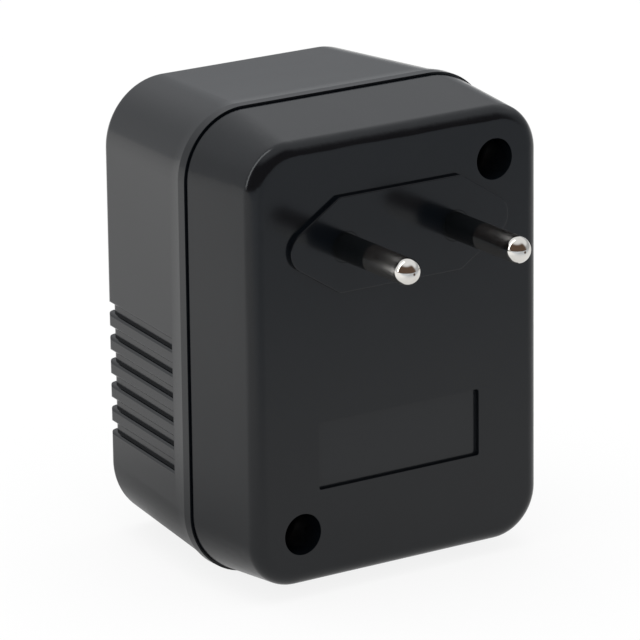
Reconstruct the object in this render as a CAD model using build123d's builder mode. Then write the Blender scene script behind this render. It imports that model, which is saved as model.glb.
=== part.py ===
from build123d import *
import os

os.makedirs("parts", exist_ok=True)

# A travel voltage converter: a plug with two round pins on the front, a small
# step-down transformer inside and a flat-blade outlet on the rear. Millimetres.
# The origin is the point on the plug plate midway between the pins. X runs to
# the right as seen from the pin side, Y runs into the case and Z runs up.

# Case sizes
case_width = 53.0
case_height = 70.4
case_corner = 10.2
cover_depth = 15.0
casing_depth = 27.9
wall = 2.2
cover_side_lean = 1.7
cover_top_lean = 2.4
cover_bottom_lean = 2.15
cover_front_corner = 7.0
cover_edge = 2.3
band_depth = 1.95
band_step = 0.22
flare_depth = 3.9
flare_dip = 0.06
casing_side_lean = 2.83
casing_top_lean = 0.93
casing_edge = 1.8
seam_gap = 0.3
seam_step = 0.34
tongue_depth = 2.0
rib_thickness = 1.6
rib_bite = 0.5

# Clearances shared by all fits, and the length by which cutters run past
fit_gap = 0.05
slip_gap = 0.2
overrun = 1.0

# Plug plate, pins and sleeves
plug_drop = 18.45
plate_lift = 0.35
plate_height = 0.8
plate_flat = 21.0
plate_tall = 14.2
plate_point = 43.0
plate_end_radius = 3.2
plate_corner = 1.0
plate_edge = 0.15
pin_spacing = 19.0
pin_diameter = 4.0
tip_start_angle = 270.0
tip_sweep_angle = 90.0
pin_core_diameter = 3.0
pin_reach = 17.3
sleeve_reach = 7.2
sleeve_root = 5.0
pin_root_diameter = 4.6
pin_collar_diameter = 5.6
pin_collar_depth = 1.2
pin_tail_diameter = 2.4
pin_rivet_diameter = 3.4
pin_rivet_depth = 0.8
pin_boss_height = 9.0
pin_boss_depth = 5.0
tag_thickness = 0.6
tag_ring_diameter = 5.0
tag_drop = 6.0
tag_width = 2.6

# Sunken label field on the front face
label_width = 28.0
label_height = 10.2
label_depth = 0.7
label_drop = 14.1
label_corner = 0.4

# Screws in their wells
screw_spread_x = 33.8
screw_spread_z = 50.7
well_diameter = 6.2
well_wall = 1.5
well_depth = 10.0
well_floor = 2.5
screw_hole_diameter = 3.4
screw_shank_diameter = 2.5
screw_head_diameter = 5.5
screw_head_height = 2.2
screw_length = 14.0
screw_recess_width = 0.8
screw_recess_span = 3.2
screw_recess_depth = 1.1
screw_head_round_share = 0.5
screw_point_share = 0.25
boss_diameter = 8.0
pilot_margin = 2.0

# Finger grooves on the sides of the rear casing
groove_count = 6
groove_pitch = 3.7
groove_floor = 1.6
groove_depth = 0.88
groove_lip = 0.6
groove_brow = 0.5
groove_rise = 0.02
groove_setback = 5.4
groove_top_drop = 0.35

# Transformer
core_side_gap = 0.85
core_top_gap = 1.8
coil_side_gap = 0.8
coil_end_gap = 3.25
pad_thickness = 1.0
pad_width = 5.0
core_rib_height = 26.0
bobbin_wall = 1.0
bobbin_corner = 1.0
primary_build_share = 0.56
insulation_build = 0.2
tape_build = 0.3

# Thermal fuse and leads
lead_diameter = 1.4
lead_bend = 0.9
fuse_body_diameter = 2.2
fuse_body_length = 9.0
fuse_wire_diameter = 0.6
fuse_wire_length = 2.0
fuse_sleeve_wall = 0.3
fuse_sleeve_length = 11.6

# Outlet in the rear wall
outlet_top_gap = 1.0
slot_spacing = 12.7
slot_width = 2.0
slot_height = 8.4
slot_funnel = 0.4
slot_funnel_angle = 45.0
pocket_width = 5.0
pocket_height = 11.0
pocket_wall = 1.45
pocket_depth = 19.0
contact_thickness = 0.6
contact_width = 6.5
contact_pinch = 1.3
contact_bend = 0.5
contact_length = 15.0
contact_spread_share = 0.35
contact_pinch_share = 0.8
contact_tail = 5.4
contact_tail_width = 3.0
retainer_thickness = 1.8
retainer_corner = 1.5
retainer_screw_shank = 2.0
retainer_screw_head = 4.0
retainer_screw_head_height = 1.5
retainer_screw_length = 7.0

# Depths and heights that follow from the sizes above
face_y = plate_height
seam_y = face_y + cover_depth
band_y = seam_y + band_depth
rear_y = seam_y + casing_depth
middle_z = plug_drop - case_height / 2
bottom_z = middle_z - case_height / 2
inside_front_y = face_y + wall
inside_rear_y = rear_y - wall
inside_top_z = plug_drop - band_step - casing_top_lean - wall
pocket_block_width = slot_spacing + pocket_width + 2 * pocket_wall
pocket_block_height = pocket_height + 2 * pocket_wall
outlet_z = inside_top_z - outlet_top_gap - pocket_block_height / 2
well_floor_y = face_y + well_depth
boss_start_y = well_floor_y + well_floor
pin_boss_y = inside_front_y + pin_boss_depth
tag_y = pin_boss_y + pin_collar_depth
screw_places = [
    (screw_spread_x / 2, middle_z + screw_spread_z / 2),
    (-screw_spread_x / 2, middle_z - screw_spread_z / 2),
]
pin_places = [(-pin_spacing / 2, 0), (pin_spacing / 2, 0)]
slot_places = [
    (-slot_spacing / 2, outlet_z),
    (slot_spacing / 2, outlet_z),
]
sides = {"left": -1, "right": 1}

# Core of the usual proportions: windows and outer legs one leg wide, a centre
# leg two wide, three leg widths of window height, and six by five over all
inner_width = case_width - 2 * (band_step + casing_side_lean + wall)
leg_width = (inner_width - 2 * core_side_gap) / 6
core_width = inner_width - 2 * core_side_gap
core_height = 5 * leg_width
window_height = 3 * leg_width
window_x = leg_width + leg_width / 2
leg_x = 2 * leg_width + leg_width / 2
coil_reach = leg_width - coil_side_gap
core_stack = inside_rear_y - inside_front_y - 2 * (coil_end_gap + coil_reach)
core_y = (inside_front_y + inside_rear_y) / 2
core_front_y = core_y - core_stack / 2
core_rear_y = core_y + core_stack / 2
core_top_z = outlet_z - pocket_block_height / 2 - core_top_gap
core_z = core_top_z - core_height / 2
core_bottom_z = core_top_z - core_height


# Sketch plane at depth y, drawn as seen from the pin side. A positive
# extrusion from it runs towards the pins, a negative one into the case.
def at_depth(y):
    return Plane.XZ.offset(-y)


# Block whose four long faces lean in evenly from front to rear, with the long
# edges rounded. It is the plan outline crossed with the side outline.
def leaning_block(front_y, back_y, front_size, back_size, corner):
    front_w, front_h = front_size
    back_w, back_h = back_size
    with BuildPart() as block:
        with BuildSketch(Plane.XY.offset(middle_z)):
            Polygon(
                (-front_w / 2, front_y),
                (front_w / 2, front_y),
                (back_w / 2, back_y),
                (-back_w / 2, back_y),
                align=None,
            )
        extrude(amount=front_h, both=True)
        with BuildSketch(Plane.YZ):
            Polygon(
                (front_y, middle_z - front_h / 2),
                (front_y, middle_z + front_h / 2),
                (back_y, middle_z + back_h / 2),
                (back_y, middle_z - back_h / 2),
                align=None,
            )
        extrude(amount=front_w, both=True, mode=Mode.INTERSECT)
        ends = faces().sort_by(Axis.Y)
        end_edges = ends[0].edges() + ends[-1].edges()
        long_edges = [e for e in edges() if e not in end_edges]
        fillet(long_edges, corner)
    return block.part


# Outline of the case at the seam, or one set in from it
def case_outline(inset, mode=Mode.ADD):
    with Locations((0, middle_z)):
        RectangleRounded(
            case_width - 2 * inset,
            case_height - 2 * inset,
            case_corner - inset,
            mode=mode,
        )


# Drafted block of the front cover, or with an inset the space inside it. The
# corners tighten and the sides lean in from the seam to the front. At the seam
# the cover is a step smaller than the band of the rear casing.
def cover_block(front_y, inset):
    share = (seam_y - front_y) / cover_depth
    front_w = case_width - 2 * share * cover_side_lean
    front_h = case_height - share * (cover_top_lean + cover_bottom_lean)
    front_shift = share * (cover_bottom_lean - cover_top_lean) / 2
    front_corner = case_corner - share * (case_corner - cover_front_corner)
    with BuildPart() as block:
        with BuildSketch(at_depth(seam_y)):
            case_outline(inset + seam_step)
        with BuildSketch(at_depth(front_y)):
            with Locations((0, middle_z + front_shift)):
                RectangleRounded(
                    front_w - 2 * inset, front_h - 2 * inset, front_corner - inset
                )
        loft(ruled=True)
    return block.part


# Lead: a round profile run along a path of straight runs and arcs
def lead(points, bend):
    with BuildPart() as wire:
        with BuildLine() as route:
            FilletPolyline(*points, radius=bend)
        path = route.wire()
        with BuildSketch(Plane(origin=path @ 0, z_dir=path % 0)):
            Circle(lead_diameter / 2)
        sweep(path=path)
    return wire.part


# Square ring round the centre leg, between the two flanges of the bobbin
def winding(inner_reach, build):
    inner_w = 2 * leg_width + 2 * inner_reach
    inner_d = core_stack + 2 * inner_reach
    with BuildPart() as ring:
        with BuildSketch(Plane.XY.offset(winding_bottom_z)):
            with Locations((0, core_y)):
                RectangleRounded(
                    inner_w + 2 * build, inner_d + 2 * build, bobbin_corner + build
                )
                RectangleRounded(
                    inner_w, inner_d, bobbin_corner, mode=Mode.SUBTRACT
                )
        extrude(amount=winding_height)
    return ring.part


# Label a finished piece and write it to its own file
def save(piece, name):
    piece.label = name
    export_step(piece, f"parts/{name}.step")


# Front cover: the drafted shell on the pin side
with BuildPart() as front_cover:
    add(cover_block(face_y, 0))
    fillet(faces().sort_by(Axis.Y)[0].edges(), cover_edge)
    add(cover_block(inside_front_y, wall), mode=Mode.SUBTRACT)

    # Raised six-sided plug plate with rounded ends
    with BuildSketch(at_depth(face_y + rib_bite)) as plate:
        Polygon(
            (-plate_point / 2, plate_lift),
            (-plate_flat / 2, plate_lift + plate_tall / 2),
            (plate_flat / 2, plate_lift + plate_tall / 2),
            (plate_point / 2, plate_lift),
            (plate_flat / 2, plate_lift - plate_tall / 2),
            (-plate_flat / 2, plate_lift - plate_tall / 2),
            align=None,
        )
        tips = plate.vertices().sort_by(Axis.X)
        fillet([tips[0], tips[-1]], plate_end_radius)
        corner_limit = plate_flat / 2 + fit_gap
        corners = plate.vertices().filter_by(lambda v: abs(v.X) < corner_limit)
        fillet(corners, plate_corner)
    extrude(amount=plate_height + rib_bite)
    fillet(faces().sort_by(Axis.Y)[0].edges(), plate_edge)

    # Tongue that enters the rear casing's rim
    with BuildSketch(at_depth(seam_y)):
        case_outline(wall / 2 + fit_gap)
        case_outline(wall, mode=Mode.SUBTRACT)
    extrude(amount=-tongue_depth)

    # Screw tubes, the bar that grips the pins, and ribs that press on the core
    with BuildSketch(at_depth(inside_front_y - rib_bite)):
        with Locations(*screw_places):
            Circle(well_diameter / 2 + well_wall)
    extrude(amount=-(boss_start_y - inside_front_y + rib_bite))
    with BuildSketch(at_depth(inside_front_y - rib_bite)):
        SlotCenterToCenter(pin_spacing, pin_boss_height)
    extrude(amount=-(pin_boss_depth + rib_bite))
    with BuildSketch(at_depth(inside_front_y - rib_bite)):
        for side in sides.values():
            with Locations((side * leg_x, core_z)):
                Rectangle(rib_thickness, core_rib_height)
    extrude(amount=-(core_front_y - pad_thickness - inside_front_y + rib_bite))

    # Label field, screw wells and pin holes
    with BuildSketch(at_depth(face_y)):
        with Locations((0, middle_z - label_drop)):
            RectangleRounded(label_width, label_height, label_corner)
    extrude(amount=-label_depth, mode=Mode.SUBTRACT)
    with BuildSketch(at_depth(face_y - overrun)):
        with Locations(*screw_places):
            Circle(well_diameter / 2)
    extrude(amount=-(well_depth + overrun), mode=Mode.SUBTRACT)
    with BuildSketch(at_depth(face_y)):
        with Locations(*screw_places):
            Circle(screw_hole_diameter / 2)
    extrude(amount=-(well_depth + well_floor + overrun), mode=Mode.SUBTRACT)
    with BuildSketch(at_depth(-overrun)):
        with Locations(*pin_places):
            Circle(pin_root_diameter / 2 + fit_gap)
    extrude(amount=-(pin_boss_y + 2 * overrun), mode=Mode.SUBTRACT)
save(front_cover.part, "front_cover")

# Rear casing: outside and inside forms
outer_front = (case_width - 2 * band_step, case_height - 2 * band_step)
outer_back = (
    outer_front[0] - 2 * casing_side_lean,
    outer_front[1] - 2 * casing_top_lean,
)
inner_front = (case_width - 2 * wall, case_height - 2 * wall)
inner_back = (outer_back[0] - 2 * wall, outer_back[1] - 2 * wall)
casing_form = leaning_block(
    band_y, rear_y, outer_front, outer_back, case_corner - band_step
)
casing_hollow = leaning_block(
    seam_y, inside_rear_y, inner_front, inner_back, case_corner - wall
)
flare_share = flare_depth / (rear_y - band_y)
flare_size = (
    outer_front[0] - 2 * (casing_side_lean * flare_share + flare_dip),
    outer_front[1] - 2 * (casing_top_lean * flare_share + flare_dip),
)

# Form whose sides are the floors of the finger grooves
with BuildPart() as floor_form:
    add(
        leaning_block(
            band_y,
            rear_y,
            (outer_front[0] - 2 * groove_depth, outer_front[1] - 2 * wall),
            (outer_back[0] - 2 * groove_depth, outer_back[1] - 2 * wall),
            case_corner - wall,
        )
    )
    fillet(faces().sort_by(Axis.Y)[-1].edges(), casing_edge)

pocket_y = rear_y - pocket_depth
rib_floor_z = bottom_z + wall - rib_bite
cradle_y = seam_y + tongue_depth + slip_gap

with BuildPart() as rear_casing:
    # Band at the rim, the flare behind it and the leaning body it runs out into
    with BuildSketch(at_depth(seam_y + seam_gap)):
        case_outline(0)
    extrude(amount=-(band_depth - seam_gap))
    with BuildSketch(at_depth(band_y)):
        case_outline(0)
    with BuildSketch(at_depth(band_y + flare_depth)):
        with Locations((0, middle_z)):
            RectangleRounded(*flare_size, case_corner - band_step)
    loft(ruled=True)
    add(casing_form)
    fillet(faces().sort_by(Axis.Y)[-1].edges(), casing_edge)

    # Finger grooves along the lower half of each side and out round the rear
    # edge. Each has a flat floor, a tight round above it and a wide one below.
    for side in sides.values():
        groove_plane = Plane(
            origin=(side * outer_front[0] / 2, band_y, middle_z),
            x_dir=(side * (rear_y - band_y), casing_side_lean, 0),
            z_dir=(-side * casing_side_lean, rear_y - band_y, 0),
        )
        with BuildSketch(groove_plane.offset(groove_setback - band_depth)):
            for row in range(groove_count):
                drop = side * (groove_top_drop + row * groove_pitch)
                for radius, way in ((groove_lip, side), (groove_brow, -side)):
                    edge = drop + way * (groove_floor / 2 + radius)
                    inside = groove_rise - radius
                    with Locations((inside, (drop + edge) / 2)):
                        Rectangle(
                            radius + overrun,
                            abs(edge - drop),
                            align=(Align.MIN, Align.CENTER),
                        )
                    with Locations((inside, edge)):
                        Circle(radius, mode=Mode.SUBTRACT)
                with Locations((0, drop)):
                    Rectangle(wall, groove_floor, align=(Align.MAX, Align.CENTER))
        extrude(amount=casing_depth, mode=Mode.SUBTRACT)
    add(floor_form.part)

    # Hollow, and the rebate for the cover's tongue
    add(casing_hollow, mode=Mode.SUBTRACT)
    with BuildSketch(at_depth(seam_y)):
        case_outline(wall / 2)
    extrude(amount=-tongue_depth, mode=Mode.SUBTRACT)

    # Bosses for the case screws
    with BuildSketch(at_depth(boss_start_y)):
        with Locations(*screw_places):
            Circle(boss_diameter / 2)
    extrude(amount=-(inside_rear_y - boss_start_y + rib_bite))
    with BuildSketch(at_depth(boss_start_y)):
        with Locations(*screw_places):
            Circle(screw_shank_diameter / 2 + fit_gap)
    extrude(amount=-(screw_length - well_floor + pilot_margin), mode=Mode.SUBTRACT)

    # Cradle: two walls under the core, two stops behind its outer legs
    for side in sides.values():
        with BuildSketch(at_depth(cradle_y)):
            with Locations((side * window_x, rib_floor_z)):
                Rectangle(
                    rib_thickness,
                    core_bottom_z - rib_floor_z,
                    align=(Align.CENTER, Align.MIN),
                )
        extrude(amount=-(inside_rear_y - cradle_y + rib_bite))
        with BuildSketch(at_depth(core_rear_y)):
            with Locations((side * leg_x, core_z)):
                Rectangle(rib_thickness, core_rib_height)
        extrude(amount=-(inside_rear_y - core_rear_y + rib_bite))

    # Contact pockets behind the outlet slots, with stops over the core's top
    with BuildSketch(at_depth(pocket_y)):
        with Locations((0, outlet_z)):
            Rectangle(pocket_block_width, pocket_block_height)
    extrude(amount=-(inside_rear_y - pocket_y + rib_bite))
    for side in sides.values():
        with BuildSketch(at_depth(pocket_y)):
            stop_x = side * (pocket_block_width - rib_thickness) / 2
            with Locations((stop_x, core_top_z)):
                Rectangle(
                    rib_thickness,
                    outlet_z - core_top_z - pocket_height / 2,
                    align=(Align.CENTER, Align.MIN),
                )
        extrude(amount=-(inside_rear_y - pocket_y + rib_bite))
    with BuildSketch(at_depth(pocket_y)):
        with Locations(*slot_places):
            Rectangle(pocket_width, pocket_height)
    extrude(amount=-(inside_rear_y - pocket_y), mode=Mode.SUBTRACT)
    with BuildSketch(at_depth(inside_rear_y)):
        with Locations(*slot_places):
            Rectangle(slot_width, slot_height)
    extrude(amount=-(wall + overrun), mode=Mode.SUBTRACT)
    with BuildSketch(at_depth(rear_y)):
        with Locations(*slot_places):
            Rectangle(slot_width + 2 * slot_funnel, slot_height + 2 * slot_funnel)
    extrude(amount=slot_funnel, taper=slot_funnel_angle, mode=Mode.SUBTRACT)
    with BuildSketch(at_depth(pocket_y)):
        with Locations((0, outlet_z)):
            Circle(retainer_screw_shank / 2 + fit_gap)
    extrude(amount=-retainer_screw_length, mode=Mode.SUBTRACT)
save(rear_casing.part, "rear_casing")


# Pan-head screw with a cross recess, its head towards the pins
def pan_screw(x, z, seat_y, shank, head, head_height, length):
    with BuildPart() as screw:
        with BuildSketch(at_depth(seat_y)):
            with Locations((x, z)):
                Circle(head / 2)
        extrude(amount=head_height)
        fillet(faces().sort_by(Axis.Y)[0].edges(), head_height * screw_head_round_share)
        with BuildSketch(at_depth(seat_y)):
            with Locations((x, z)):
                Circle(shank / 2)
        extrude(amount=-length)
        chamfer(faces().sort_by(Axis.Y)[-1].edges(), shank * screw_point_share)
        with BuildSketch(at_depth(seat_y - head_height)):
            with Locations((x, z)):
                Rectangle(screw_recess_span, screw_recess_width)
                Rectangle(screw_recess_width, screw_recess_span)
        extrude(amount=-screw_recess_depth, mode=Mode.SUBTRACT)
    return screw.part


# The two screws that hold the shells together share one node
with BuildPart() as case_screws:
    for x, z in screw_places:
        add(
            pan_screw(
                x,
                z,
                well_floor_y,
                screw_shank_diameter,
                screw_head_diameter,
                screw_head_height,
                screw_length,
            )
        )
save(case_screws.part, "case_screws")

# Plug pins with their sleeves and solder tags
ball = pin_diameter / 2
rivet_y = tag_y + tag_thickness
for name, side in sides.items():
    pin_x = side * pin_spacing / 2
    with BuildPart() as plug_pin:
        with BuildSketch(Plane.XY) as half_profile:
            with BuildLine():
                CenterArc((pin_x, ball - pin_reach), ball, tip_start_angle, tip_sweep_angle)
                Polyline(
                    (pin_x + ball, ball - pin_reach),
                    (pin_x + ball, -sleeve_reach),
                    (pin_x + pin_core_diameter / 2, -sleeve_reach),
                    (pin_x + pin_core_diameter / 2, sleeve_root),
                    (pin_x + pin_root_diameter / 2, sleeve_root),
                    (pin_x + pin_root_diameter / 2, pin_boss_y),
                    (pin_x + pin_collar_diameter / 2, pin_boss_y),
                    (pin_x + pin_collar_diameter / 2, tag_y),
                    (pin_x + pin_tail_diameter / 2, tag_y),
                    (pin_x + pin_tail_diameter / 2, rivet_y),
                    (pin_x + pin_rivet_diameter / 2, rivet_y),
                    (pin_x + pin_tail_diameter / 2, rivet_y + pin_rivet_depth),
                    (pin_x, rivet_y + pin_rivet_depth),
                    (pin_x, -pin_reach),
                )
            make_face()
        revolve(axis=Axis((pin_x, 0, 0), (0, 1, 0)))
    save(plug_pin.part, f"plug_pin_{name}")

    with BuildPart() as pin_sleeve:
        with BuildSketch(at_depth(0)):
            with Locations((pin_x, 0)):
                Circle(pin_diameter / 2)
        extrude(amount=sleeve_reach)
        with BuildSketch(at_depth(0)):
            with Locations((pin_x, 0)):
                Circle(pin_root_diameter / 2)
        extrude(amount=-sleeve_root)
        with BuildSketch(at_depth(-sleeve_reach)):
            with Locations((pin_x, 0)):
                Circle(pin_core_diameter / 2)
        extrude(amount=-(sleeve_reach + sleeve_root), mode=Mode.SUBTRACT)
    save(pin_sleeve.part, f"pin_sleeve_{name}")

    with BuildPart() as pin_tag:
        with BuildSketch(at_depth(tag_y)):
            with Locations((pin_x, 0)):
                Circle(tag_ring_diameter / 2)
                Rectangle(tag_width, tag_drop, align=(Align.CENTER, Align.MAX))
                Circle(pin_tail_diameter / 2, mode=Mode.SUBTRACT)
        extrude(amount=-tag_thickness)
    save(pin_tag.part, f"pin_tag_{name}")

# Core: an E stack with its legs up and an I stack across them
yoke_top_z = core_bottom_z + leg_width
with BuildPart() as core_e_stack:
    with BuildSketch(at_depth(core_front_y)):
        with Locations((0, core_bottom_z)):
            Rectangle(
                core_width,
                leg_width + window_height,
                align=(Align.CENTER, Align.MIN),
            )
        for side in sides.values():
            with Locations((side * window_x, yoke_top_z)):
                Rectangle(
                    leg_width,
                    window_height,
                    align=(Align.CENTER, Align.MIN),
                    mode=Mode.SUBTRACT,
                )
    extrude(amount=-core_stack)
save(core_e_stack.part, "core_e_stack")

with BuildPart() as core_i_stack:
    with BuildSketch(at_depth(core_front_y)):
        with Locations((0, core_top_z)):
            Rectangle(core_width, leg_width, align=(Align.CENTER, Align.MAX))
    extrude(amount=-core_stack)
save(core_i_stack.part, "core_i_stack")

# Bobbin: a tube round the centre leg with a flange at each end
bobbin_height = window_height - 2 * slip_gap
bobbin_bottom_z = yoke_top_z + slip_gap
bobbin_bore = (2 * leg_width + 2 * slip_gap, core_stack + 2 * slip_gap)
flange_reach = leg_width - slip_gap
flange_width = 2 * leg_width + 2 * flange_reach
flange_depth = core_stack + 2 * flange_reach
tube_reach = slip_gap + bobbin_wall
winding_bottom_z = bobbin_bottom_z + bobbin_wall
winding_height = bobbin_height - 2 * bobbin_wall
with BuildPart() as coil_bobbin:
    with BuildSketch(Plane.XY.offset(bobbin_bottom_z)):
        with Locations((0, core_y)):
            RectangleRounded(
                2 * leg_width + 2 * tube_reach,
                core_stack + 2 * tube_reach,
                bobbin_corner,
            )
    extrude(amount=bobbin_height)
    for flange_z in (bobbin_bottom_z, bobbin_bottom_z + bobbin_height - bobbin_wall):
        with BuildSketch(Plane.XY.offset(flange_z)):
            with Locations((0, core_y)):
                RectangleRounded(flange_width, flange_depth, bobbin_corner)
        extrude(amount=bobbin_wall)
    with BuildSketch(Plane.XY.offset(bobbin_bottom_z)):
        with Locations((0, core_y)):
            Rectangle(*bobbin_bore)
    extrude(amount=bobbin_height, mode=Mode.SUBTRACT)
save(coil_bobbin.part, "coil_bobbin")

# Coils and tapes, each layer on the one before
layer_reach = tube_reach
wire_build = coil_reach - tube_reach - insulation_build - tape_build
primary_build = wire_build * primary_build_share
layers = {
    "primary_winding": primary_build,
    "winding_insulation": insulation_build,
    "secondary_winding": wire_build - primary_build,
    "outer_tape": tape_build,
}
for name, build in layers.items():
    save(winding(layer_reach, build), name)
    layer_reach += build
coil_front_y = core_front_y - layer_reach
flange_top_z = bobbin_bottom_z + bobbin_height

# Pads between the cover's ribs and the core
for name, side in sides.items():
    with BuildPart() as core_pad:
        with BuildSketch(at_depth(core_front_y - pad_thickness)):
            with Locations((side * leg_x, core_z)):
                Rectangle(pad_width, core_rib_height)
        extrude(amount=-pad_thickness)
    save(core_pad.part, f"core_pad_{name}")

# Thermal fuse on the coil's front, in its heat-shrink tube
fuse_radius = fuse_body_diameter / 2
fuse_outer_radius = fuse_radius + fit_gap + fuse_sleeve_wall
fuse_x = -pin_spacing / 2
fuse_y = coil_front_y - fuse_outer_radius - fit_gap
fuse_z = winding_bottom_z + winding_height / 2
with BuildPart() as thermal_fuse:
    with BuildSketch(Plane.XY.offset(fuse_z - fuse_body_length / 2)):
        with Locations((fuse_x, fuse_y)):
            Circle(fuse_radius)
    extrude(amount=fuse_body_length)
    fillet(edges().filter_by(GeomType.CIRCLE), fuse_radius / 2)
    with BuildSketch(Plane.XY.offset(fuse_z - fuse_body_length / 2 - fuse_wire_length)):
        with Locations((fuse_x, fuse_y)):
            Circle(fuse_wire_diameter / 2)
    extrude(amount=fuse_body_length + 2 * fuse_wire_length)
save(thermal_fuse.part, "thermal_fuse")

with BuildPart() as fuse_sleeve:
    with BuildSketch(Plane.XY.offset(fuse_z - fuse_sleeve_length / 2)):
        with Locations((fuse_x, fuse_y)):
            Circle(fuse_outer_radius)
            Circle(fuse_radius + fit_gap, mode=Mode.SUBTRACT)
    extrude(amount=fuse_sleeve_length)
save(fuse_sleeve.part, "fuse_sleeve")

# Leads on the input side: tag to fuse, fuse to coil, tag to coil
tag_mid_y = tag_y + tag_thickness / 2
fuse_half = fuse_body_length / 2 + fuse_wire_length
lead_drop = lead_diameter / 2 + lead_bend
flange_front_y = core_y - flange_depth / 2
turn_z = bobbin_bottom_z - lead_drop - lead_bend
save(
    lead(
        [
            (fuse_x, tag_mid_y, -tag_drop),
            (fuse_x, tag_mid_y, -tag_drop - lead_bend),
            (fuse_x, fuse_y, -tag_drop - 2 * lead_bend),
            (fuse_x, fuse_y, fuse_z + fuse_half),
        ],
        lead_bend,
    ),
    "input_lead_left",
)
save(
    lead(
        [
            (fuse_x, fuse_y, fuse_z - fuse_half),
            (fuse_x, fuse_y, turn_z),
            (fuse_x, flange_front_y + 2 * lead_drop, turn_z),
            (fuse_x, flange_front_y + 2 * lead_drop, bobbin_bottom_z),
        ],
        lead_bend,
    ),
    "fuse_lead",
)
right_entry_x = pin_spacing / 2 - lead_drop
right_entry_y = tag_mid_y - lead_drop / 2
save(
    lead(
        [
            (pin_spacing / 2, tag_mid_y, -tag_drop),
            (pin_spacing / 2, tag_mid_y, -tag_drop - lead_bend),
            (right_entry_x, right_entry_y, flange_top_z + lead_bend),
            (right_entry_x, right_entry_y, flange_top_z),
        ],
        lead_bend / 2,
    ),
    "input_lead_right",
)

# Outlet: retainer plate, folded contacts and the output leads
contact_y = pocket_y + fit_gap
leaf_x = (pocket_width - contact_thickness) / 2 - fit_gap
retainer_y = pocket_y - retainer_thickness
with BuildPart() as contact_retainer:
    with BuildSketch(at_depth(pocket_y)):
        with Locations((0, outlet_z)):
            RectangleRounded(pocket_block_width, pocket_block_height, retainer_corner)
            Circle(retainer_screw_shank / 2 + slip_gap, mode=Mode.SUBTRACT)
        with Locations(*slot_places):
            Rectangle(
                contact_thickness + 2 * slip_gap,
                contact_tail_width + 2 * slip_gap,
                mode=Mode.SUBTRACT,
            )
    extrude(amount=retainer_thickness)
save(contact_retainer.part, "contact_retainer")
save(
    pan_screw(
        0,
        outlet_z,
        retainer_y,
        retainer_screw_shank,
        retainer_screw_head,
        retainer_screw_head_height,
        retainer_screw_length,
    ),
    "retainer_screw",
)

base_y = contact_y + contact_thickness / 2
spread_y = base_y + contact_length * contact_spread_share
pinch_y = base_y + contact_length * contact_pinch_share
mouth_y = base_y + contact_length
pinch_x = (contact_pinch + contact_thickness) / 2
tail_end_y = base_y - contact_tail
lead_end_y = tail_end_y + lead_diameter
lead_rise_y = core_rear_y + flange_reach / 2
lead_over_z = (core_top_z + outlet_z - pocket_block_height / 2) / 2
for name, side in sides.items():
    slot_x = side * slot_spacing / 2
    with BuildPart() as outlet_contact:
        with BuildSketch(Plane.XY.offset(outlet_z - contact_width / 2)):
            with BuildLine():
                leaves = FilletPolyline(
                    (slot_x - leaf_x, mouth_y),
                    (slot_x - pinch_x, pinch_y),
                    (slot_x - leaf_x, spread_y),
                    (slot_x - leaf_x, base_y),
                    (slot_x + leaf_x, base_y),
                    (slot_x + leaf_x, spread_y),
                    (slot_x + pinch_x, pinch_y),
                    (slot_x + leaf_x, mouth_y),
                    radius=contact_bend,
                )
                offset(leaves, amount=contact_thickness / 2)
            make_face()
        extrude(amount=contact_width)
        with BuildSketch(at_depth(base_y)):
            with Locations((slot_x, outlet_z)):
                Rectangle(contact_thickness, contact_tail_width)
        extrude(amount=contact_tail)
    save(outlet_contact.part, f"outlet_contact_{name}")
    save(
        lead(
            [
                (slot_x, lead_rise_y, flange_top_z),
                (slot_x, lead_rise_y, lead_over_z),
                (slot_x, lead_end_y, lead_over_z),
                (slot_x, lead_end_y, outlet_z - contact_tail_width / 2),
            ],
            lead_bend,
        ),
        f"output_lead_{name}",
    )
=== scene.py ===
import math

import bpy
from mathutils import Matrix, Vector


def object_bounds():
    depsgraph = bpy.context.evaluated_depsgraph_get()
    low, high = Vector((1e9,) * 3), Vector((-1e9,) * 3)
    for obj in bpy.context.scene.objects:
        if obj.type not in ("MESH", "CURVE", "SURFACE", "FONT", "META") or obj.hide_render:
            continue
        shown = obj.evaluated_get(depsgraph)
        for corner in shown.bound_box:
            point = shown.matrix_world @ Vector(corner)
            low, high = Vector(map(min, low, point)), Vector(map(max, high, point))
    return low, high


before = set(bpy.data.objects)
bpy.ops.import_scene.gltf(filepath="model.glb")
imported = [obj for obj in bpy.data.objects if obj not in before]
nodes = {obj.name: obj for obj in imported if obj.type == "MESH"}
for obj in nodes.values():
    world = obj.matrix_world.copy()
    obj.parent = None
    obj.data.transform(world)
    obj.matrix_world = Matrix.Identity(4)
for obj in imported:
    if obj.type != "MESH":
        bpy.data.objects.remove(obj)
cad_low, cad_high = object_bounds()

# Shells: the shallow front cover and the deep rear casing are moulded in the
# same black plastic. The moulds are polished, so the face is a dim mirror, and
# a faint grain and the marks of handling break up its shine.
shell_black = (0.0030, 0.0041, 0.0057, 1.0)
shell_worn = (0.0046, 0.0058, 0.0077, 1.0)
shell_roughness = 0.14
shell_index = 1.41
grain_pitch = 0.00042
grain_depth = 0.0000011
handling_pitch = 0.009
sharp_angle = math.radians(24)
weld_distance = 0.000001
flat_face_weight = 80
band_end = 0.01775
band_margin = 0.00002


def wire(tree, source, target):
    tree.links.new(source, target)


def add_sockets(tree, inputs, outputs):
    for name, kind, value in inputs:
        socket = tree.interface.new_socket(name, in_out="INPUT", socket_type=kind)
        if value is not None:
            socket.default_value = value
    for name, kind in outputs:
        tree.interface.new_socket(name, in_out="OUTPUT", socket_type=kind)


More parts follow.
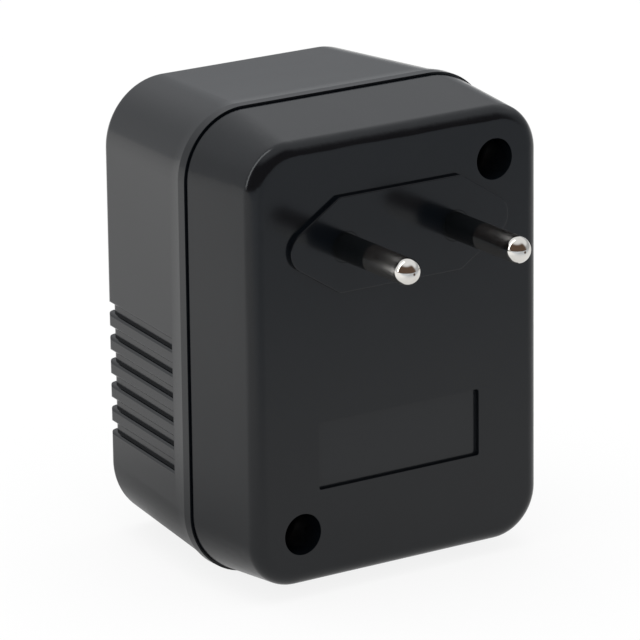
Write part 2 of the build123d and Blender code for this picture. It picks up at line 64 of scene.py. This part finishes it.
def math_node(tree, operation, first, second=None, clamp=False):
    node = tree.nodes.new("ShaderNodeMath")
    node.operation = operation
    node.use_clamp = clamp
    for place, value in enumerate((first, second)):
        if value is None:
            continue
        if isinstance(value, (int, float)):
            node.inputs[place].default_value = value
        else:
            wire(tree, value, node.inputs[place])
    return node.outputs[0]


def ramp(tree, value, start, end, low, high):
    node = tree.nodes.new("ShaderNodeMapRange")
    node.interpolation_type = "SMOOTHSTEP"
    node.inputs["From Min"].default_value = start
    node.inputs["From Max"].default_value = end
    node.inputs["To Min"].default_value = low
    node.inputs["To Max"].default_value = high
    wire(tree, value, node.inputs["Value"])
    return node.outputs["Result"]


def blend(tree, factor, first, second):
    node = tree.nodes.new("ShaderNodeMix")
    node.data_type = "RGBA"
    wire(tree, factor, node.inputs["Factor"])
    for name, value in (("A", first), ("B", second)):
        if isinstance(value, tuple):
            node.inputs[name].default_value = value
        else:
            wire(tree, value, node.inputs[name])
    return node.outputs["Result"]


fine_detail = 2.0
coarse_detail = 3.0
coarse_share = 0.07


def make_moulded_grain():
    tree = bpy.data.node_groups.new("moulded grain", "ShaderNodeTree")
    add_sockets(
        tree,
        [
            ("Vector", "NodeSocketVector", None),
            ("Pitch", "NodeSocketFloat", 0.0005),
            ("Softness", "NodeSocketFloat", 0.55),
        ],
        [("Height", "NodeSocketFloat"), ("Tone", "NodeSocketFloat")],
    )
    source = tree.nodes.new("NodeGroupInput")
    result = tree.nodes.new("NodeGroupOutput")
    scale = math_node(tree, "DIVIDE", 1.0, source.outputs["Pitch"])
    fine = tree.nodes.new("ShaderNodeTexNoise")
    fine.inputs["Detail"].default_value = fine_detail
    wire(tree, source.outputs["Vector"], fine.inputs["Vector"])
    wire(tree, scale, fine.inputs["Scale"])
    wire(tree, source.outputs["Softness"], fine.inputs["Roughness"])
    coarse = tree.nodes.new("ShaderNodeTexNoise")
    coarse.inputs["Detail"].default_value = coarse_detail
    wire(tree, source.outputs["Vector"], coarse.inputs["Vector"])
    wire(tree, math_node(tree, "MULTIPLY", scale, coarse_share), coarse.inputs["Scale"])
    wire(tree, fine.outputs["Fac"], result.inputs["Height"])
    wire(tree, coarse.outputs["Fac"], result.inputs["Tone"])
    return tree


smudge_detail = 4.0
smudge_warp = 0.6
smudge_span = (0.35, 0.7)
hairline_detail = 2.0
hairline_stretch = (9.0, 1.0, 5.0)
hairline_density = 2.3
hairline_span = (0.6, 0.75)
hairline_strength = 0.5


def make_handling():
    tree = bpy.data.node_groups.new("handling marks", "ShaderNodeTree")
    add_sockets(
        tree,
        [
            ("Vector", "NodeSocketVector", None),
            ("Pitch", "NodeSocketFloat", 0.01),
            ("Roughness", "NodeSocketFloat", 0.3),
            ("Spread", "NodeSocketFloat", 0.06),
        ],
        [("Roughness", "NodeSocketFloat"), ("Mask", "NodeSocketFloat")],
    )
    source = tree.nodes.new("NodeGroupInput")
    result = tree.nodes.new("NodeGroupOutput")
    scale = math_node(tree, "DIVIDE", 1.0, source.outputs["Pitch"])
    smudge = tree.nodes.new("ShaderNodeTexNoise")
    smudge.inputs["Detail"].default_value = smudge_detail
    smudge.inputs["Distortion"].default_value = smudge_warp
    wire(tree, source.outputs["Vector"], smudge.inputs["Vector"])
    wire(tree, scale, smudge.inputs["Scale"])
    hairline = tree.nodes.new("ShaderNodeTexNoise")
    hairline.inputs["Detail"].default_value = hairline_detail
    stretch = tree.nodes.new("ShaderNodeVectorMath")
    stretch.operation = "MULTIPLY"
    stretch.inputs[1].default_value = hairline_stretch
    wire(tree, source.outputs["Vector"], stretch.inputs[0])
    wire(tree, stretch.outputs[0], hairline.inputs["Vector"])
    density = math_node(tree, "MULTIPLY", scale, hairline_density)
    wire(tree, density, hairline.inputs["Scale"])
    mask = tree.nodes.new("ShaderNodeMapRange")
    mask.inputs["From Min"].default_value = smudge_span[0]
    mask.inputs["From Max"].default_value = smudge_span[1]
    wire(tree, smudge.outputs["Fac"], mask.inputs["Value"])
    line = tree.nodes.new("ShaderNodeMapRange")
    line.inputs["From Min"].default_value = hairline_span[0]
    line.inputs["From Max"].default_value = hairline_span[1]
    line.inputs["To Max"].default_value = hairline_strength
    wire(tree, hairline.outputs["Fac"], line.inputs["Value"])
    both = math_node(tree, "ADD", mask.outputs["Result"], line.outputs["Result"])
    extra = math_node(tree, "MULTIPLY", both, source.outputs["Spread"])
    total = math_node(tree, "ADD", source.outputs["Roughness"], extra, clamp=True)
    wire(tree, total, result.inputs["Roughness"])
    wire(tree, mask.outputs["Result"], result.inputs["Mask"])
    return tree


moulded_grain = make_moulded_grain()
handling = make_handling()


# A finish is a shader with two effects placed in it. Grain drives its bump,
# marks drive its roughness, and both blend its two tones.
def finish(name, tones, roughness, spread, pitch, depth, mark_pitch, **fixed):
    material = bpy.data.materials.new(name)
    material.use_nodes = True
    tree = material.node_tree
    shader = tree.nodes["Principled BSDF"]
    for socket, value in fixed.items():
        shader.inputs[socket.replace("_", " ")].default_value = value
    place = tree.nodes.new("ShaderNodeTexCoord").outputs["Object"]
    grain = tree.nodes.new("ShaderNodeGroup")
    grain.node_tree = moulded_grain
    grain.inputs["Pitch"].default_value = pitch
    wire(tree, place, grain.inputs["Vector"])
    marks = tree.nodes.new("ShaderNodeGroup")
    marks.node_tree = handling
    marks.inputs["Pitch"].default_value = mark_pitch
    marks.inputs["Roughness"].default_value = roughness
    marks.inputs["Spread"].default_value = spread
    wire(tree, place, marks.inputs["Vector"])
    wire(tree, marks.outputs["Roughness"], shader.inputs["Roughness"])
    share = math_node(tree, "MULTIPLY", marks.outputs["Mask"], grain.outputs["Tone"])
    wire(tree, blend(tree, share, *tones), shader.inputs["Base Color"])
    bump = tree.nodes.new("ShaderNodeBump")
    bump.inputs["Distance"].default_value = depth
    wire(tree, grain.outputs["Height"], bump.inputs["Height"])
    wire(tree, bump.outputs["Normal"], shader.inputs["Normal"])
    return material


# The tree joins a node's loose triangles and rounds the shading of its curved
# faces. Edges sharper than the named angle, and the band's rear edge, stay crisp.
def make_shading_tree():
    tree = bpy.data.node_groups.new("crisp edges", "GeometryNodeTree")
    tree.is_modifier = True
    add_sockets(
        tree,
        [
            ("Geometry", "NodeSocketGeometry", None),
            ("Sharp angle", "NodeSocketFloat", sharp_angle),
            ("Weld distance", "NodeSocketFloat", weld_distance),
            ("Crisp depth", "NodeSocketFloat", band_end),
        ],
        [("Geometry", "NodeSocketGeometry")],
    )
    source = tree.nodes.new("NodeGroupInput")
    result = tree.nodes.new("NodeGroupOutput")
    weld = tree.nodes.new("GeometryNodeMergeByDistance")
    wire(tree, source.outputs["Geometry"], weld.inputs["Geometry"])
    wire(tree, source.outputs["Weld distance"], weld.inputs["Distance"])
    rounded = tree.nodes.new("GeometryNodeSetShadeSmooth")
    rounded.domain = "FACE"
    wire(tree, weld.outputs["Geometry"], rounded.inputs["Geometry"])
    angle = tree.nodes.new("GeometryNodeInputMeshEdgeAngle")
    sharp = tree.nodes.new("FunctionNodeCompare")
    sharp.data_type = "FLOAT"
    sharp.operation = "GREATER_THAN"
    wire(tree, angle.outputs["Unsigned Angle"], sharp.inputs["A"])
    wire(tree, source.outputs["Sharp angle"], sharp.inputs["B"])
    place = tree.nodes.new("ShaderNodeSeparateXYZ")
    wire(tree, tree.nodes.new("GeometryNodeInputPosition").outputs[0], place.inputs[0])
    at_band = tree.nodes.new("FunctionNodeCompare")
    at_band.data_type = "FLOAT"
    at_band.operation = "EQUAL"
    at_band.inputs["Epsilon"].default_value = band_margin
    wire(tree, place.outputs["Y"], at_band.inputs["A"])
    wire(tree, source.outputs["Crisp depth"], at_band.inputs["B"])
    either = tree.nodes.new("FunctionNodeBooleanMath")
    either.operation = "OR"
    wire(tree, sharp.outputs["Result"], either.inputs[0])
    wire(tree, at_band.outputs["Result"], either.inputs[1])
    crisp = tree.nodes.new("GeometryNodeSetShadeSmooth")
    crisp.domain = "EDGE"
    crisp.inputs["Shade Smooth"].default_value = False
    wire(tree, rounded.outputs["Geometry"], crisp.inputs["Geometry"])
    wire(tree, either.outputs["Boolean"], crisp.inputs["Selection"])
    wire(tree, crisp.outputs["Geometry"], result.inputs["Geometry"])
    return tree


shading_tree = make_shading_tree()


def dress(names, material):
    for name in names:
        piece = nodes[name]
        piece.data.materials.clear()
        piece.data.materials.append(material)
        shading = piece.modifiers.new("crisp edges", "NODES")
        shading.node_group = shading_tree
        weighting = piece.modifiers.new("flat faces stay flat", "WEIGHTED_NORMAL")
        weighting.keep_sharp = True
        weighting.weight = flat_face_weight


shell_plastic = finish(
    "shell plastic",
    (shell_black, shell_worn),
    roughness=shell_roughness,
    spread=0.05,
    pitch=grain_pitch,
    depth=grain_depth,
    mark_pitch=handling_pitch,
    IOR=shell_index,
)


# The mould leaves the bare label field dull. A thin box round its floor picks it
# out from the rest of the front cover with a lighter colour: painted sheen, in place of
# the light that the dull surface spreads.
label_middle = (0.0, 0.0015, -0.03085)
label_half = (0.01395, 0.0002, 0.00505)
# Painted sheen: the lighter colour of the label field.
label_sheen_tone = (0.0075, 0.0088, 0.0105, 1.0)


def add_painted_sheen_field(material, middle, half, tone):
    tree = material.node_tree
    place = tree.nodes["Texture Coordinate"].outputs["Object"]
    steps = (("SUBTRACT", middle), ("DIVIDE", half), ("ABSOLUTE", None))
    for operation, value in steps:
        node = tree.nodes.new("ShaderNodeVectorMath")
        node.operation = operation
        wire(tree, place, node.inputs[0])
        if value is not None:
            node.inputs[1].default_value = value
        place = node.outputs[0]
    parts = tree.nodes.new("ShaderNodeSeparateXYZ")
    wire(tree, place, parts.inputs[0])
    far = math_node(tree, "MAXIMUM", parts.outputs["X"], parts.outputs["Y"])
    far = math_node(tree, "MAXIMUM", far, parts.outputs["Z"])
    inside = math_node(tree, "LESS_THAN", far, 1.0)
    shader = tree.nodes["Principled BSDF"]
    colour = shader.inputs["Base Color"].links[0].from_socket
    # Painted sheen: inside the box the colour turns to the lighter tone.
    wire(tree, blend(tree, inside, colour, tone), shader.inputs["Base Color"])


add_painted_sheen_field(shell_plastic, label_middle, label_half, label_sheen_tone)
dress(["front_cover", "rear_casing"], shell_plastic)

# Plug pins: turned brass rods with ball ends, plated with nickel. The shanks
# are dulled by being pushed into sockets, and the balls stay bright.
shank_end = -0.0146
ball_start = -0.0156
shank_dulling = 0.13
nickel = finish(
    "nickel plating",
    ((0.80, 0.78, 0.74, 1.0), (0.68, 0.65, 0.60, 1.0)),
    roughness=0.045,
    spread=0.03,
    pitch=0.00025,
    depth=0.00000008,
    mark_pitch=0.0016,
    Metallic=1.0,
)
tree = nickel.node_tree
shader = tree.nodes["Principled BSDF"]
place = tree.nodes.new("ShaderNodeSeparateXYZ")
wire(tree, tree.nodes["Texture Coordinate"].outputs["Object"], place.inputs[0])
dulling = ramp(tree, place.outputs["Y"], ball_start, shank_end, 0.0, shank_dulling)
polished = shader.inputs["Roughness"].links[0].from_socket
wire(tree, math_node(tree, "ADD", polished, dulling), shader.inputs["Roughness"])
dress(["plug_pin_left", "plug_pin_right"], nickel)

# Pin sleeves: black insulation moulded round the thin neck of each pin, flush
# with the plug plate and with the bare metal.
sleeve_black = finish(
    "sleeve insulation",
    ((0.0034, 0.0042, 0.0048, 1.0), (0.0052, 0.0060, 0.0068, 1.0)),
    roughness=0.17,
    spread=0.06,
    pitch=0.0003,
    depth=0.0000012,
    mark_pitch=0.002,
    IOR=1.4,
)
dress(["pin_sleeve_left", "pin_sleeve_right"], sleeve_black)

# Screws: self-tapping steel screws with cross recesses, plated with zinc. Two
# close the shells at the bottom of the wells and one holds the retainer.
zinc = finish(
    "zinc plating",
    ((0.36, 0.36, 0.35, 1.0), (0.24, 0.24, 0.23, 1.0)),
    roughness=0.34,
    spread=0.12,
    pitch=0.0003,
    depth=0.000002,
    mark_pitch=0.0012,
    Metallic=1.0,
)
dress(["case_screws", "retainer_screw"], zinc)

# Tags and contacts: strip brass, stamped and folded. The tags are riveted to
# the pins, and the contacts sit in pockets behind the outlet slots.
brass = finish(
    "strip brass",
    ((0.62, 0.42, 0.16, 1.0), (0.45, 0.27, 0.09, 1.0)),
    roughness=0.3,
    spread=0.14,
    pitch=0.0004,
    depth=0.000001,
    mark_pitch=0.002,
    Metallic=1.0,
)
dress(
    ["pin_tag_left", "pin_tag_right", "outlet_contact_left", "outlet_contact_right"],
    brass,
)

# Core: E and I sheets of silicon steel, stacked front to rear and varnished.
# Each sheet's edge shows as a line round the stack.
sheet_pitch = 0.0005
sheet_line_depth = 0.00004
plain_wave_length = math.tau / 20
core_steel = finish(
    "varnished core sheets",
    ((0.060, 0.062, 0.068, 1.0), (0.11, 0.085, 0.06, 1.0)),
    roughness=0.42,
    spread=0.15,
    pitch=0.0006,
    depth=0.000003,
    mark_pitch=0.004,
    Metallic=0.6,
)


def add_ridges(material, pitch, depth, axis):
    tree = material.node_tree
    lines = tree.nodes.new("ShaderNodeTexWave")
    lines.bands_direction = axis
    lines.inputs["Scale"].default_value = plain_wave_length / pitch
    wire(
        tree,
        tree.nodes["Texture Coordinate"].outputs["Object"],
        lines.inputs["Vector"],
    )
    relief = tree.nodes.new("ShaderNodeBump")
    relief.inputs["Distance"].default_value = depth
    wire(tree, lines.outputs["Fac"], relief.inputs["Height"])
    grain_bump = tree.nodes["Bump"]
    wire(tree, relief.outputs["Normal"], grain_bump.inputs["Normal"])


add_ridges(core_steel, sheet_pitch, sheet_line_depth, "Y")
dress(["core_e_stack", "core_i_stack"], core_steel)

# Bobbin: moulded in natural nylon, slipped over the core's centre leg.
# The coils are wound between its two flanges.
nylon = finish(
    "natural nylon",
    ((0.66, 0.63, 0.54, 1.0), (0.60, 0.55, 0.44, 1.0)),
    roughness=0.38,
    spread=0.1,
    pitch=0.0005,
    depth=0.000002,
    mark_pitch=0.005,
    Subsurface_Weight=0.15,
    Subsurface_Scale=0.002,
)
dress(["coil_bobbin"], nylon)

# Coils: enamelled copper wire wound round the bobbin in close turns, the thin
# primary inside and the thicker secondary outside.
turn_pitches = {"primary_winding": 0.00022, "secondary_winding": 0.0009}
turn_depth_share = 0.25
for coil, turn_pitch in turn_pitches.items():
    copper = finish(
        coil.replace("_", " "),
        ((0.42, 0.12, 0.035, 1.0), (0.30, 0.075, 0.02, 1.0)),
        roughness=0.22,
        spread=0.1,
        pitch=0.0005,
        depth=0.000001,
        mark_pitch=0.003,
        Metallic=0.85,
        Coat_Weight=0.6,
    )
    add_ridges(copper, turn_pitch, turn_pitch * turn_depth_share, "Z")
    dress([coil], copper)

# Tape: yellow polyester film between the coils and round the outer one.
# It is wrapped flat and shines.
film = finish(
    "polyester tape",
    ((0.66, 0.42, 0.03, 1.0), (0.58, 0.34, 0.02, 1.0)),
    roughness=0.2,
    spread=0.12,
    pitch=0.0012,
    depth=0.000006,
    mark_pitch=0.006,
)
dress(["winding_insulation", "outer_tape"], film)

# Thermal fuse: a bare metal can with a wire at each end, laid on the coil in a
# black heat-shrink tube.
fuse_metal = finish(
    "fuse can",
    ((0.55, 0.55, 0.54, 1.0), (0.42, 0.42, 0.41, 1.0)),
    roughness=0.3,
    spread=0.1,
    pitch=0.0003,
    depth=0.000001,
    mark_pitch=0.002,
    Metallic=1.0,
)
dress(["thermal_fuse"], fuse_metal)
shrink_tube = finish(
    "heat-shrink tube",
    ((0.012, 0.012, 0.013, 1.0), (0.02, 0.02, 0.02, 1.0)),
    roughness=0.42,
    spread=0.1,
    pitch=0.0008,
    depth=0.00001,
    mark_pitch=0.003,
)
dress(["fuse_sleeve"], shrink_tube)

# Leads: soft insulated wires, red on the input side and grey on the output
# side, soldered to the tags, the fuse, the coils and the contacts.
lead_tones = {
    "red lead": ((0.35, 0.02, 0.015, 1.0), (0.26, 0.015, 0.012, 1.0)),
    "grey lead": ((0.20, 0.20, 0.21, 1.0), (0.14, 0.14, 0.15, 1.0)),
}
lead_nodes = {
    "red lead": ["input_lead_left", "fuse_lead", "input_lead_right"],
    "grey lead": ["output_lead_left", "output_lead_right"],
}
for name, tones in lead_tones.items():
    insulation = finish(
        name,
        tones,
        roughness=0.36,
        spread=0.1,
        pitch=0.0004,
        depth=0.000003,
        mark_pitch=0.003,
    )
    dress(lead_nodes[name], insulation)

# Retainer and pads: a punched board of brown fibre keeps the contacts in their
# pockets, and two pads of foam keep the core from rattling.
fibre_board = finish(
    "fibre board",
    ((0.16, 0.065, 0.025, 1.0), (0.10, 0.038, 0.015, 1.0)),
    roughness=0.5,
    spread=0.15,
    pitch=0.0003,
    depth=0.000006,
    mark_pitch=0.002,
)
dress(["contact_retainer"], fibre_board)
foam = finish(
    "cell foam",
    ((0.022, 0.022, 0.024, 1.0), (0.05, 0.05, 0.052, 1.0)),
    roughness=0.85,
    spread=0.1,
    pitch=0.0006,
    depth=0.00012,
    mark_pitch=0.002,
)
dress(["core_pad_left", "core_pad_right"], foam)

# Floor: a wide pale sheet under the converter. To the camera it is white paper
# with a soft shadow. In reflections it glows with painted light: painted shade dims it in
# front, painted light brightens it on the left, a painted shadow darkens it under the
# rear, and its front is a cooler white.
floor_reach = 6.0
floor_drop = 0.00005
paper = (0.88, 0.88, 0.88, 1.0)
paper_roughness = 0.9
white_share = 0.86
mirrored_share = 0.8
# Painted light and shade in reflections: the floor's glow is dimmer in front and brighter
# on the left.
mirrored_back = 0.8
mirrored_front = 0.46
# Painted cool light: in reflections the front of the floor is a cooler white.
floor_cool = (0.93, 1.0, 1.09, 1.0)
floor_plain = (1.0, 1.0, 1.0, 1.0)
front_near = -0.03
front_far = -0.20
left_near = -0.04
left_far = -0.13
left_gain = 1.3
# Painted shadow: in reflections the floor is darker near this place under the rear.
shade_place = (-0.02, 0.045)
shade_near = 0.006
shade_far = 0.05
shade_gain = 0.4

floor_mesh = bpy.data.meshes.new("floor")
floor_z = cad_low.z - floor_drop
corners = [
    (x * floor_reach, y * floor_reach, floor_z)
    for x, y in ((-1, -1), (1, -1), (1, 1), (-1, 1))
]
floor_mesh.from_pydata(corners, [], [(0, 1, 2, 3)])
floor = bpy.data.objects.new("floor", floor_mesh)
bpy.context.scene.collection.objects.link(floor)


def mirror_rays(tree, rays):
    through = rays.outputs["Is Transmission Ray"]
    return math_node(tree, "MAXIMUM", rays.outputs["Is Glossy Ray"], through)


paper_white = bpy.data.materials.new("paper floor")
paper_white.use_nodes = True
tree = paper_white.node_tree
sheet = tree.nodes["Principled BSDF"]
sheet.inputs["Base Color"].default_value = paper
sheet.inputs["Roughness"].default_value = paper_roughness
sheet.inputs["Specular IOR Level"].default_value = 0.0
rays = tree.nodes.new("ShaderNodeLightPath")
mirrored = mirror_rays(tree, rays)
place = tree.nodes.new("ShaderNodeSeparateXYZ")
wire(tree, tree.nodes.new("ShaderNodeTexCoord").outputs["Object"], place.inputs[0])
# Painted shade and light: reflections of the floor dim towards the front and brighten
# towards the left.
front = ramp(
    tree, place.outputs["Y"], front_far, front_near, mirrored_front, mirrored_back
)
left = ramp(tree, place.outputs["X"], left_far, left_near, left_gain, 1.0)
# Painted shadow: reflections of the floor darken near a place under the rear of the
# converter.
reach = tree.nodes.new("ShaderNodeVectorMath")
reach.operation = "DISTANCE"
reach.inputs[1].default_value = (*shade_place, floor_z)
wire(tree, tree.nodes["Texture Coordinate"].outputs["Object"], reach.inputs[0])
shade = ramp(tree, reach.outputs["Value"], shade_near, shade_far, shade_gain, 1.0)
# The painted light, painted shade and painted shadow together set the floor's glow in
# reflections.
painted_floor_light = math_node(
    tree, "MULTIPLY", front, math_node(tree, "MULTIPLY", left, shade)
)
strength = tree.nodes.new("ShaderNodeMix")
strength.data_type = "FLOAT"
strength.inputs["A"].default_value = 1.0
wire(tree, mirrored, strength.inputs["Factor"])
wire(tree, painted_floor_light, strength.inputs["B"])
glow = tree.nodes.new("ShaderNodeEmission")
wire(tree, strength.outputs["Result"], glow.inputs["Strength"])
# Painted cool light: reflections of the floor turn a cooler white towards the front.
cool_share = ramp(tree, place.outputs["Y"], front_far, front_near, 1.0, 0.0)
cool_share = math_node(tree, "MULTIPLY", cool_share, mirrored)
wire(tree, blend(tree, cool_share, floor_plain, floor_cool), glow.inputs["Color"])
share = math_node(
    tree,
    "ADD",
    math_node(tree, "MULTIPLY", rays.outputs["Is Camera Ray"], white_share),
    math_node(tree, "MULTIPLY", mirrored, mirrored_share),
    clamp=True,
)
mix = tree.nodes.new("ShaderNodeMixShader")
wire(tree, share, mix.inputs["Fac"])
wire(tree, sheet.outputs["BSDF"], mix.inputs[1])
wire(tree, glow.outputs["Emission"], mix.inputs[2])
wire(tree, mix.outputs["Shader"], tree.nodes["Material Output"].inputs["Surface"])
floor_mesh.materials.append(paper_white)

# Light: a white room and one wide soft lamp overhead. Reflections show the room
# grey behind and dim brown in front, with a tall strip light on the left.
room_plain = (0.80, 0.80, 0.80, 1.0)
room_shown = (1.0, 1.0, 1.0, 1.0)
room_left = (0.74, 0.75, 0.765, 1.0)
room_right = (0.445, 0.455, 0.47, 1.0)
room_high = (0.84, 0.85, 0.87, 1.0)
room_brown = (0.110, 0.072, 0.052, 1.0)
low_sine = 0.26
high_sine = 0.56
left_edge = -0.45
right_edge = 0.35
front_way = (-0.547, -0.837, 0.0)
front_start = -0.05
front_full = 0.35
dim_top = 0.97
dim_fade = 0.72
strip_low = (0.21, 0.28)
strip_high = (0.35, 0.43)
strip_side = (-0.10, 0.05)
strip_foot = (0.0, 0.15)
strip_light = (3.8, 3.9, 4.0, 1.0)
lamp_power = 6.0
lamp_width = 1.0
lamp_place = Vector((-0.05, 0.05, 1.0))

world = bpy.data.worlds.new("white room")
bpy.context.scene.world = world
world.use_nodes = True
tree = world.node_tree
sky = tree.nodes["Background"]
rays = tree.nodes.new("ShaderNodeLightPath")
way = tree.nodes.new("ShaderNodeTexCoord").outputs["Generated"]
rise = tree.nodes.new("ShaderNodeSeparateXYZ")
wire(tree, way, rise.inputs[0])
facing = tree.nodes.new("ShaderNodeVectorMath")
facing.operation = "DOT_PRODUCT"
facing.inputs[1].default_value = front_way
wire(tree, way, facing.inputs[0])
in_front = ramp(tree, facing.outputs["Value"], front_start, front_full, 0.0, 1.0)
low_down = ramp(tree, rise.outputs["Z"], dim_fade, dim_top, 1.0, 0.0)
dim = math_node(tree, "MULTIPLY", in_front, low_down)
across = ramp(tree, rise.outputs["X"], left_edge, right_edge, 0.0, 1.0)
height = ramp(tree, rise.outputs["Z"], low_sine, high_sine, 0.0, 1.0)
behind = blend(tree, height, blend(tree, across, room_left, room_right), room_high)
around = blend(tree, dim, behind, room_brown)
strip = ramp(tree, rise.outputs["Y"], *strip_low, 0.0, 1.0)
sides = (("Y", strip_high, 0.0), ("X", strip_side, 0.0), ("Z", strip_foot, 1.0))
for name, span, end in sides:
    edge = ramp(tree, rise.outputs[name], *span, 1.0 - end, end)
    strip = math_node(tree, "MULTIPLY", strip, edge)
around = blend(tree, strip, around, strip_light)
mirrored = mirror_rays(tree, rays)
lit = blend(tree, mirrored, room_plain, around)
shown = blend(tree, rays.outputs["Is Camera Ray"], lit, room_shown)
wire(tree, shown, sky.inputs["Color"])

lamp_data = bpy.data.lights.new("soft lamp", "AREA")
lamp_data.energy = lamp_power
lamp_data.size = lamp_width
lamp = bpy.data.objects.new("soft lamp", lamp_data)
lamp.location = lamp_place
lamp.rotation_mode = "QUATERNION"
lamp.rotation_quaternion = (-lamp_place).to_track_quat("-Z", "Y")
lamp.visible_glossy = False
bpy.context.scene.collection.objects.link(lamp)

# Camera: a long lens above and to the left of the pins, aimed at the seam, as
# in the photograph.
view_azimuth = math.radians(33.133)
view_elevation = math.radians(16.941)
view_roll = math.radians(-0.678)
view_distance = 0.8
view_pivot = Vector((0.0, 0.0158, -0.01675))
view_side = -0.003157
view_rise = 0.000248
focal_pixels = 5457.24
frame_pixels = 640
sensor_width = 36.0
clip_span = (0.05, 20.0)

back = Vector(
    (
        -math.sin(view_azimuth) * math.cos(view_elevation),
        -math.cos(view_azimuth) * math.cos(view_elevation),
        math.sin(view_elevation),
    )
)
level_right = (-back).cross(Vector((0, 0, 1))).normalized()
level_up = level_right.cross(-back)
right = math.cos(view_roll) * level_right + math.sin(view_roll) * level_up
up = -math.sin(view_roll) * level_right + math.cos(view_roll) * level_up
camera_data = bpy.data.cameras.new("camera")
camera_data.sensor_width = sensor_width
camera_data.lens = focal_pixels / frame_pixels * sensor_width
camera_data.clip_start, camera_data.clip_end = clip_span
camera = bpy.data.objects.new("camera", camera_data)
place = view_pivot + view_side * right + view_rise * up + view_distance * back
camera.matrix_world = Matrix(
    (
        (right.x, up.x, back.x, place.x),
        (right.y, up.y, back.y, place.y),
        (right.z, up.z, back.z, place.z),
        (0.0, 0.0, 0.0, 1.0),
    )
)
bpy.context.scene.collection.objects.link(camera)
bpy.context.scene.camera = camera
bpy.context.scene.view_settings.view_transform = "Standard"
